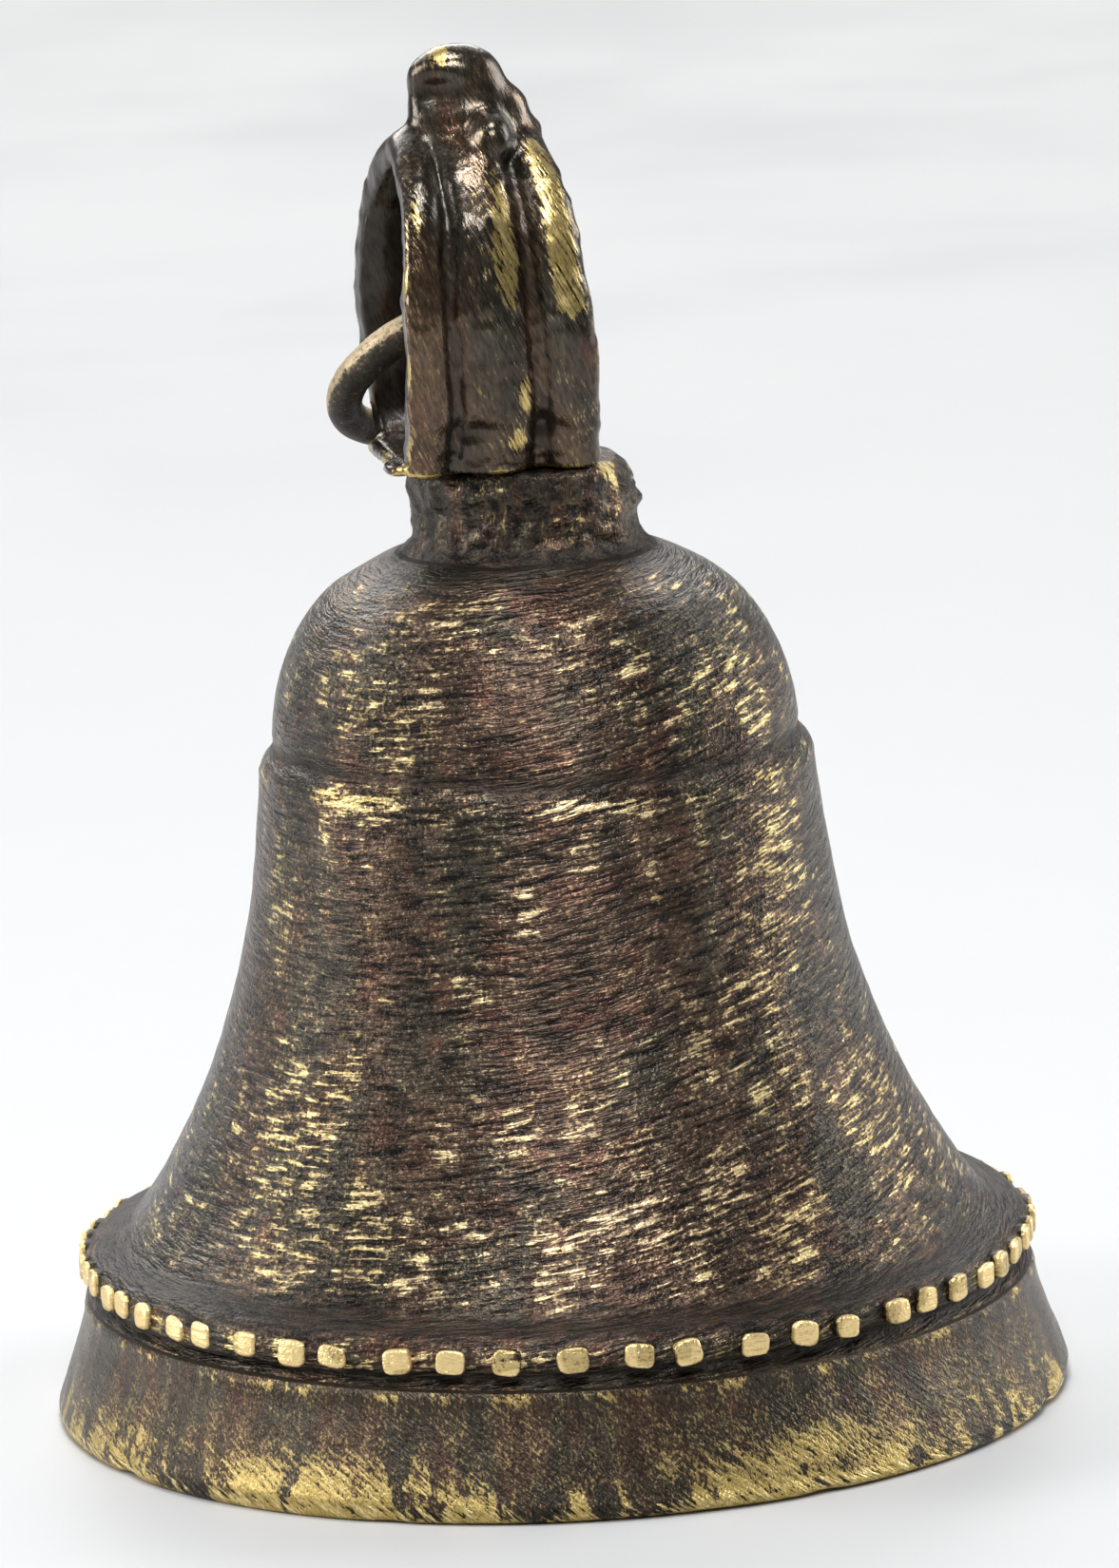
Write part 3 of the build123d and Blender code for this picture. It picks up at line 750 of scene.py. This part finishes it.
# distance in front of or behind the arch's mid line tells the outer face from the inner one
k_near = np.argmin((v[:, 1][:, None] - path[::4, 0][None, :]) ** 2
                   + (v[:, 2][:, None] - path[::4, 1][None, :]) ** 2, axis=1) * 4
stand = (v[:, 1] - path[k_near, 0]) * nor[k_near, 0] + (v[:, 2] - path[k_near, 1]) * nor[k_near, 1]
outside = ease(stand, -0.9, -0.35)
is_strap = (v[:, 2] > FOOT_Z + FOOT_T + 0.1)
yy, zz = v[:, 1], v[:, 2]
front_leg = ease(-yy, 0.0, 2.0)
wear_and_highlight = 0.12 * field(v, 2.2, 50)
wear_and_highlight += outside * front_leg * (
    3.0 * bell(w, 0.12, 0.24) * bell(zz, 60.3, 4.3)
    + 3.0 * bell(w, 0.74, 0.24) * ease(zz, 55.8, 57.4) * (1 - ease(zz, 64.5, 66.5))
    + 2.7 * bell(w, 0.20, 0.14) * bell(zz, 53.0, 1.5)
    + 2.7 * bell(w, 0.10, 0.18) * bell(zz, 50.6, 0.9)
    + 2.2 * bell(w, -0.88, 0.12) * bell(zz, 62.3, 2.6)
    + 1.9 * bell(w, 0.8, 0.2) * bell(zz, 52.0, 1.3)
    + 1.8 * bell(w, -0.85, 0.18) * bell(zz, 50.2, 0.9)
    + 0.35 * bell(w, 0.05, 0.2) * bell(zz, 64.0, 1.2))
back_leg = ease(yy, 0.0, 2.0)
wear_and_highlight += outside * back_leg * 1.2 * np.clip(field(v, (3.0, 3.0, 5.0), 51) + 0.1, 0, 1) * (
    bell(w, -0.75, 0.25) + bell(w, 0.0, 0.3) + bell(w, 0.75, 0.25))
worn_edge_and_light = 1.2 * ease(np.abs(w), 0.93, 1.0) * (0.35 + 0.95 * field(v, (1.5, 1.5, 2.2), 52)) * is_strap
worn_edge_and_light += 1.1 * bell(zz, FOOT_Z + 0.1, 0.16) * (0.8 + 0.3 * field(v, 1.6, 53))
worn_edge_and_light += 0.75 * ease(zz, 68.5, 69.2) * ease(-v[:, 0], 2.5, 3.6)
worn_edge_and_light += 0.8 * bell(v[:, 0], -7.3, 0.5) * (zz < 49.9)
# painted shade: the grooves between the ribs, the dips above the foot, the whole inner face and the scoop
# under the cap are darkened
grime_and_shade = outside * (0.6 * bell(w, -0.51, 0.10) + 0.75 * bell(w, 0.385, 0.10)) * is_strap
grime_and_shade *= 0.8 + 0.4 * field(v, 1.4, 54)
grime_and_shade += front_leg * 0.6 * bell(zz, 51.2, 0.4) * (bell(w, -0.36, 0.20) + bell(w, 0.40, 0.15)) * outside
grime_and_shade += 0.8 * (1 - outside) * is_strap * (zz < 65.5)
grime_and_shade += 0.9 * spot(v, (-3.7, -1.5, 67.6), (1.4, 1.2, 0.75))
loop_flow = np.stack([v[:, 0], v[:, 1], (v[:, 2] + 1.9 * v[:, 0]) / 2.15], axis=1)
calm = 0.97 - 0.55 * np.clip(wear_and_highlight, 0, 1)
loop_ob = make("crown_loop_cast", v, loop_faces,
               {"flow": loop_flow, "wear_and_highlight": wear_and_highlight, "worn_edge_and_light": worn_edge_and_light, "grime_and_shade": np.clip(grime_and_shade, 0, 1), "calm": calm})
loop_ob.data.materials.append(old_brass("loop_patina", warm=(0.098, 0.062, 0.036), red=(0.105, 0.048, 0.030),
                                        bare=-0.09, along=0.9, across=7.5, rust=1.2, gloss=0.22, relief=0.30,
                                        coat=0.42))
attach(loop_ob, "bell")
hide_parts("crown_loop")


# ---------------------------------------------------------------- the hanging ring

RING_R, RING_WIRE = 6.05, 0.92
RING_TILT, RING_ROLL = math.radians(37), math.radians(15.2)
ring = next(j for j in frame["record"]["behaviour"]["joints"] if j["name"] == "ring_swing")
centre = np.array(ring["pos_m"]) / MM
v, n, a, _, f = torus(RING_R, RING_WIRE, 150, 30)
bumps = 0.035 * field(v, 1.8, 60) + 0.02 * field(v, 0.7, 61) + 0.05 * bell(wrap(a - 0.9), 0, 0.05)
v += n * bumps[:, None]
v[:, :2] *= (1 + 0.010 * np.cos(2 * a + 0.8))[:, None]
# painted light: the ring's upper side is bared to pale brass and its underside darkened as painted shade
worn_edge_and_light = 0.35 + 0.5 * ease(n[:, 2], -0.2, 0.7)
grime_and_shade = 0.85 * ease(-n[:, 2], -0.3, 0.7)
local = v.copy()
v = turn(turn(v, "X", -RING_TILT), "Y", -RING_ROLL) + centre
ring_ob = make("loose_ring", v, f, {"flow": local, "wear_and_highlight": 1.1 + 0.4 * field(local, 2.0, 62),
                                    "calm": np.full(len(v), 0.8), "worn_edge_and_light": worn_edge_and_light, "grime_and_shade": grime_and_shade})
ring_ob.data.materials.append(old_brass("ring_patina", dark=(0.10, 0.080, 0.055), warm=(0.15, 0.115, 0.075),
                                        red=(0.12, 0.08, 0.05), gold=(0.50, 0.40, 0.25),
                                        pale=(0.66, 0.55, 0.38), bare=0.06, along=1.6, across=2.0,
                                        rust=0.4, gloss=0.50, relief=0.6))
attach(ring_ob, "ring")
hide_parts("hanging_ring")


# ---------------------------------------------------------------- stud, washer, link, rod and ball

iron = dark_iron("forged_iron")
EYE_Z, LINK_Z, ROD_EYE_Z, BALL_Z = 36.6, 32.8, 29.15, 9.6     # middles
BALL_R = 4.6
BALL_TOP, BALL_FOOT = BALL_Z + BALL_R, BALL_Z - BALL_R
SEAM_AT = 0.3                       # where the ball's casting seam is, round its axis
HEAD_Z = FOOT_Z + FOOT_T + 0.05

stud_profile = smooth_line([(0.02, HEAD_Z + 0.98), (0.7, HEAD_Z + 0.95), (1.6, HEAD_Z + 0.75),
                            (2.35, HEAD_Z + 0.35), (2.55, HEAD_Z + 0.08), (2.4, HEAD_Z)], 20).tolist()
stud_profile += [(1.5, HEAD_Z), (1.5, 46.0), (1.5, 42.0), (1.5, 40.12), (2.2, 40.1), (2.3, 39.95),
                 (2.3, 39.5), (2.15, 39.4), (0.9, 39.4), (0.02, 39.4)]
sv, sf = turned(np.array(stud_profile)[::-1], 64)
head = sv[:, 2] > HEAD_Z - 0.01
sv[:, :2] *= (1 + 0.03 * head * field(sv, 1.5, 70))[:, None]
sv[:, 2] += np.where(head & (sv[:, 2] > HEAD_Z + 0.2), 0.05 * field(sv, 0.9, 71), 0)
ev, en, _, _, ef = torus(2.2, 0.75, 72, 22)
ev += en * (0.04 * field(ev, 0.9, 72))[:, None]
ev = turn(ev, "Y", PI / 2) + np.array([0, 0, EYE_Z])
pv, pf, pa = join_arrays([
    (sv, sf, {"worn_edge_and_light": 0.8 * ease(sv[:, 2], HEAD_Z + 0.4, HEAD_Z + 0.95)}),
    (ev, ef, {"worn_edge_and_light": 0.9 * bell(ev[:, 2], EYE_Z - 1.5, 0.5)})])
stud_ob = make("peened_stud", pv, pf, pa)
stud_ob.data.materials.append(iron)
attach(stud_ob, "bell")
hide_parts("crown_stud")

wash = [(1.56, 40.35), (1.7, 40.17), (2.4, 40.15), (4.0, 40.16), (4.25, 40.26), (4.3, 40.6), (4.27, 40.95),
        (4.05, 41.12), (2.5, 41.14), (1.7, 41.13), (1.56, 40.95)]
wv = spun(wash, 72)
rim_out = ease(np.hypot(wv[:, 0], wv[:, 1]), 3.9, 4.3)
wv[:, :2] *= (1 + 0.012 * rim_out * field(wv, 1.3, 75))[:, None]
wash_ob = make("crown_washer_iron", wv, grid_faces(len(wash), 72, close_rows=True), {"worn_edge_and_light": 0.5 * rim_out})
wash_ob.data.materials.append(iron)
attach(wash_ob, "bell")
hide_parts("crown_washer")

lv, ln, la, _, lf = torus(3.0, 0.6, 96, 22)
lv += ln * (0.025 * field(lv, 0.9, 76) + 0.03 * bell(wrap(la - 2.6), 0, 0.06))[:, None]
l_edge = 0.8 * (bell(wrap(la - PI / 2), 0, 0.3) + bell(wrap(la + PI / 2), 0, 0.3))
lv = turn(lv, "X", PI / 2) + np.array([0, 0, LINK_Z])
link_ob = make("wire_link", lv, lf, {"worn_edge_and_light": l_edge})
link_ob.data.materials.append(iron)
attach(link_ob, "link")
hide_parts("clapper_link")

TOP = ROD_EYE_Z - 2.0
rod_profile = [(0.02, TOP)]
rod_profile += smooth_line([(0.75, TOP - 0.05), (1.0, TOP - 1.2), (1.27, TOP - 2.6)], 8).tolist()
rod_profile += [(1.27, z) for z in np.linspace(TOP - 3.2, BALL_TOP + 0.3, 30)]
rod_profile += [(1.25, BALL_TOP + 0.03), (1.09, BALL_TOP), (1.09, BALL_Z), (1.09, BALL_FOOT - 0.05)]
rod_profile += smooth_line([(1.6, BALL_FOOT - 0.06), (1.88, BALL_FOOT - 0.25), (1.6, BALL_FOOT - 0.65),
                            (0.9, BALL_FOOT - 0.9), (0.02, BALL_FOOT - 0.93)], 14).tolist()
rv, rf = turned(np.array(rod_profile)[::-1], 56)
free = ((rv[:, 2] > BALL_TOP + 0.2) & (rv[:, 2] < TOP - 0.2)) | (rv[:, 2] < BALL_FOOT - 0.2)
ang = np.arctan2(rv[:, 1], rv[:, 0])
rv[:, :2] *= (1 + free * (0.05 * field(rv, (1.6, 1.6, 2.4), 77) - 0.03 + 0.02 * np.cos(4 * ang)))[:, None]
gv, gn, _, _, gf = torus(2.0, 0.7, 72, 22)
gv += gn * (0.03 * field(gv, 0.9, 78))[:, None]
gv = turn(gv, "Y", PI / 2) + np.array([0, 0, ROD_EYE_Z])
pv, pf, pa = join_arrays([
    (rv, rf, {"worn_edge_and_light": 0.5 * ease(-rv[:, 2], -(BALL_FOOT - 0.3), -(BALL_FOOT - 0.9))}),
    (gv, gf, {"worn_edge_and_light": 0.9 * bell(gv[:, 2], ROD_EYE_Z + 1.3, 0.5)})])
rod_ob = make("forged_rod", pv, pf, pa)
rod_ob.data.materials.append(iron)
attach(rod_ob, "clapper")
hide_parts("clapper_rod")

half_ball = BALL_R - 0.08
ball_profile = [(1.17, BALL_Z - half_ball)]
for z in np.linspace(-half_ball, half_ball, 56):
    ball_profile.append((math.sqrt(max((BALL_R + 0.33) ** 2 - z * z, 1.5)), BALL_Z + z))
ball_profile.append((1.17, BALL_Z + half_ball))
bv = spun(ball_profile, 120)
out_way = (bv - np.array([0, 0, BALL_Z])) / (BALL_R + 0.35)
rad = np.hypot(bv[:, 0], bv[:, 1])
keep = ease(rad, 1.3, 2.0)
from_seam = np.arctan2(bv[:, 1], bv[:, 0]) - SEAM_AT
seam = bell(from_seam, 0, 0.03) + bell(wrap(from_seam - PI), 0, 0.03)
bumps = 0.05 * field(bv, 1.8, 80) - 0.06 + 0.03 * field(bv, 0.8, 81) + 0.04 * seam
bv += out_way * (keep * bumps)[:, None]
hit = bell(bv[:, 2], BALL_Z + 0.3, 1.6) * np.sin(np.arctan2(bv[:, 1], bv[:, 0])) ** 2
ball_ob = make("striking_ball", bv, grid_faces(len(ball_profile), 120, close_rows=True),
               {"flow": bv + 90.0, "wear_and_highlight": 1.2 * hit, "worn_edge_and_light": 0.6 * hit, "grime_and_shade": 0.35 * (1 - hit)})
ball_ob.data.materials.append(old_brass("ball_patina", bare=-0.02, along=1.2, across=1.2, gloss=0.42,
                                        relief=0.7))
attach(ball_ob, "clapper")
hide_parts("clapper_ball")


# ---------------------------------------------------------------- floor, light and camera

FLOOR_HALF = 3.0                    # metres
floor_me = bpy.data.meshes.new("floor")
floor_me.from_pydata([(x * FLOOR_HALF, y * FLOOR_HALF, 0) for x, y in ((-1, -1), (1, -1), (1, 1), (-1, 1))],
                     [], [(0, 1, 2, 3)])
floor = bpy.data.objects.new("floor", floor_me)
bpy.context.collection.objects.link(floor)
fm = bpy.data.materials.new("pale_floor")
fm.use_nodes = True
nt = fm.node_tree
bsdf = nt.nodes["Principled BSDF"]
at = node(nt, "TexCoord").outputs["Object"]
cloud = stretched(nt, at, (14, 14, 14), 4.0, 0.6)
nt.links.new(blend_colour(nt, span(nt, cloud, 0.35, 0.7), (0.56, 0.56, 0.56), (0.575, 0.575, 0.572)),
             bsdf.inputs["Base Color"])
nt.links.new(span(nt, cloud, 0.3, 0.7, 0.42, 0.6), bsdf.inputs["Roughness"])
floor_me.materials.append(fm)

scene = bpy.context.scene
world = bpy.data.worlds.new("studio")
world.use_nodes = True
# the room's faint light on the bell, and the pale grey seen behind it
wt = world.node_tree
fill = wt.nodes["Background"]
fill.inputs["Color"].default_value = (0.95, 0.97, 1.0, 1)
fill.inputs["Strength"].default_value = 0.17
seen = node(wt, "Background", Color=(0.87, 0.87, 0.875, 1), Strength=1.0)
pick = node(wt, "MixShader")
wt.links.new(node(wt, "LightPath").outputs["Is Camera Ray"], pick.inputs[0])
wt.links.new(fill.outputs[0], pick.inputs[1])
wt.links.new(seen.outputs[0], pick.inputs[2])
wt.links.new(pick.outputs[0], wt.nodes["World Output"].inputs[0])
scene.world = world


def softbox(name, at, aim, size, watts, colour=(1, 1, 1)):
    """A rectangular light at one place, aimed at another, in metres."""
    light = bpy.data.lights.new(name, "AREA")
    light.shape = "RECTANGLE"
    light.size, light.size_y = size
    light.energy = watts
    light.color = colour
    ob = bpy.data.objects.new(name, light)
    ob.location = at
    ob.rotation_mode = "QUATERNION"
    ob.rotation_quaternion = (Vector(aim) - Vector(at)).to_track_quat("-Z", "Y")
    bpy.context.collection.objects.link(ob)


softbox("back", (0.0, 0.42, 0.42), (0, 0, 0.03), (0.7, 0.35), 0.6, (0.96, 0.98, 1.0))
softbox("backdrop", (0.0, 0.88, 0.45), (0, 0.7, 0), (0.9, 0.4), 4.8)
softbox("overhead", (-0.02, -0.06, 0.50), (0, 0, 0.03), (0.15, 0.09), 1.25, (0.95, 0.97, 1.0))
softbox("front_top", (-0.08, -0.36, 0.42), (0, 0, 0.03), (0.17, 0.09), 1.5, (0.97, 0.98, 1.0))
softbox("right", (0.80, 0.15, 0.32), (0, 0, 0.03), (0.35, 0.45), 3.6)
softbox("left", (-0.80, 0.15, 0.32), (0, 0, 0.03), (0.35, 0.45), 4.6)

# the camera looks down at the bell, turned round Z by its azimuth and rolled a little
CAM_BACK, CAM_UP = 0.5212, 0.1400   # metres
CAM_AZIMUTH, CAM_PITCH, CAM_ROLL, CAM_YAW = [math.radians(x) for x in (-12.0, 11.73, -2.459, 0.126)]
cam_data = bpy.data.cameras.new("camera")
cam_data.sensor_width = 36
cam_data.lens = 240
cam_data.clip_start = 0.01
cam = bpy.data.objects.new("camera", cam_data)
bpy.context.collection.objects.link(cam)
fwd = Vector((math.sin(CAM_YAW) * math.cos(CAM_PITCH), math.cos(CAM_YAW) * math.cos(CAM_PITCH),
              -math.sin(CAM_PITCH)))
right = Vector((math.cos(CAM_YAW), -math.sin(CAM_YAW), 0))
up = right.cross(fwd)
r2 = math.cos(CAM_ROLL) * right + math.sin(CAM_ROLL) * up
u2 = -math.sin(CAM_ROLL) * right + math.cos(CAM_ROLL) * up
basis = Matrix((r2, u2, -fwd)).transposed()
spin = Matrix.Rotation(CAM_AZIMUTH, 3, "Z")
cam.matrix_world = Matrix.Translation(spin @ Vector((0, -CAM_BACK, CAM_UP))) @ (spin @ basis).to_4x4()
scene.camera = cam
scene.view_settings.view_transform = "Standard"
